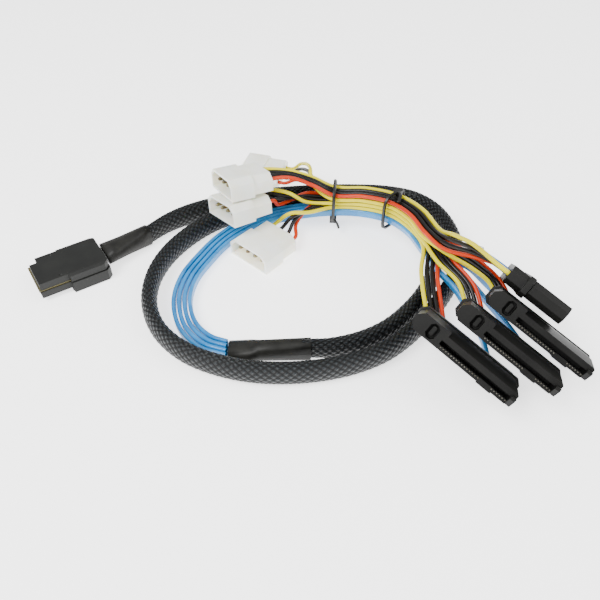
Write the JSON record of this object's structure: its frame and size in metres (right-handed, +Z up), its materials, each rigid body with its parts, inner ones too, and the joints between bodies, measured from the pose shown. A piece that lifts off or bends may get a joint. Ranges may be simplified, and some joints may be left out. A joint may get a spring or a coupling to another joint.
{
  "type": "mini sas breakout cable",
  "caption": "Mini SAS plug on a looped flat braided sleeve that splits into blue data cables and coloured power wires ending in black drive sockets and white power plugs.",
  "frame": {"origin": "on the table, under the middle of the box round the connectors", "axes": "+Z up off the table, +X from the host plug towards the drive sockets, +Y away from the viewer, towards the farthest power plug"},
  "size_m": [0.2532, 0.1901, 0.043],
  "materials": {
    "plug_plastic": "satin black moulding",
    "socket_plastic": "satin black moulding",
    "natural_plastic": "milky natural nylon",
    "card": "green solder mask",
    "tinned_pin": "tinned brass",
    "spring_steel": "bare spring steel",
    "braid": "glossy monofilament braid",
    "heat_shrink": "satin black heat shrink",
    "tie_nylon": "black nylon",
    "label_film": "bare white film",
    "data_blue": "blue jacket",
    "wire_yellow": "yellow insulation",
    "wire_black": "black insulation",
    "wire_red": "red-orange insulation"
  },
  "bodies": {
    "cable": {"plug_upper_shell": "plug_plastic", "plug_lower_shell": "plug_plastic", "plug_paddle_card": "card", "plug_heat_shrink": "heat_shrink", "braided_sleeve": "braid", "breakout_heat_shrink": "heat_shrink", "power_plug_1": "natural_plastic", "power_pin_1_1": "tinned_pin", "power_pin_1_2": "tinned_pin", "power_pin_1_3": "tinned_pin", "power_pin_1_4": "tinned_pin", "drive_socket_1": "socket_plastic", "socket_hood_1": "socket_plastic", "data_cable_1": "data_blue", "wire_1_yellow": "wire_yellow", "wire_1_black_a": "wire_black", "wire_1_black_b": "wire_black", "wire_1_red": "wire_red", "power_plug_2": "natural_plastic", "power_pin_2_1": "tinned_pin", "power_pin_2_2": "tinned_pin", "power_pin_2_3": "tinned_pin", "power_pin_2_4": "tinned_pin", "drive_socket_2": "socket_plastic", "socket_hood_2": "socket_plastic", "data_cable_2": "data_blue", "wire_2_yellow": "wire_yellow", "wire_2_black_a": "wire_black", "wire_2_black_b": "wire_black", "wire_2_red": "wire_red", "power_plug_3": "natural_plastic", "power_pin_3_1": "tinned_pin", "power_pin_3_2": "tinned_pin", "power_pin_3_3": "tinned_pin", "power_pin_3_4": "tinned_pin", "drive_socket_3": "socket_plastic", "socket_hood_3": "socket_plastic", "data_cable_3": "data_blue", "wire_3_yellow": "wire_yellow", "wire_3_black_a": "wire_black", "wire_3_black_b": "wire_black", "wire_3_red": "wire_red", "power_plug_4": "natural_plastic", "power_pin_4_1": "tinned_pin", "power_pin_4_2": "tinned_pin", "power_pin_4_3": "tinned_pin", "power_pin_4_4": "tinned_pin", "drive_socket_4": "socket_plastic", "socket_hood_4": "socket_plastic", "data_cable_4": "data_blue", "wire_4_yellow": "wire_yellow", "wire_4_black_a": "wire_black", "wire_4_black_b": "wire_black", "wire_4_red": "wire_red", "cable_tie_1": "tie_nylon", "cable_tie_2": "tie_nylon", "wrap_label": "label_film"},
    "latch": {"plug_latch": "spring_steel"}
  },
  "joints": [
    {"name": "latch_press", "type": "hinge", "parent": "cable", "child": "latch", "pos_m": [-0.11748, -0.01149, 0.00155], "axis": [0.5446, -0.8387, 0], "range_deg": [0, 3.5], "stiffness_Nm_per_rad": 0.5}
  ]
}
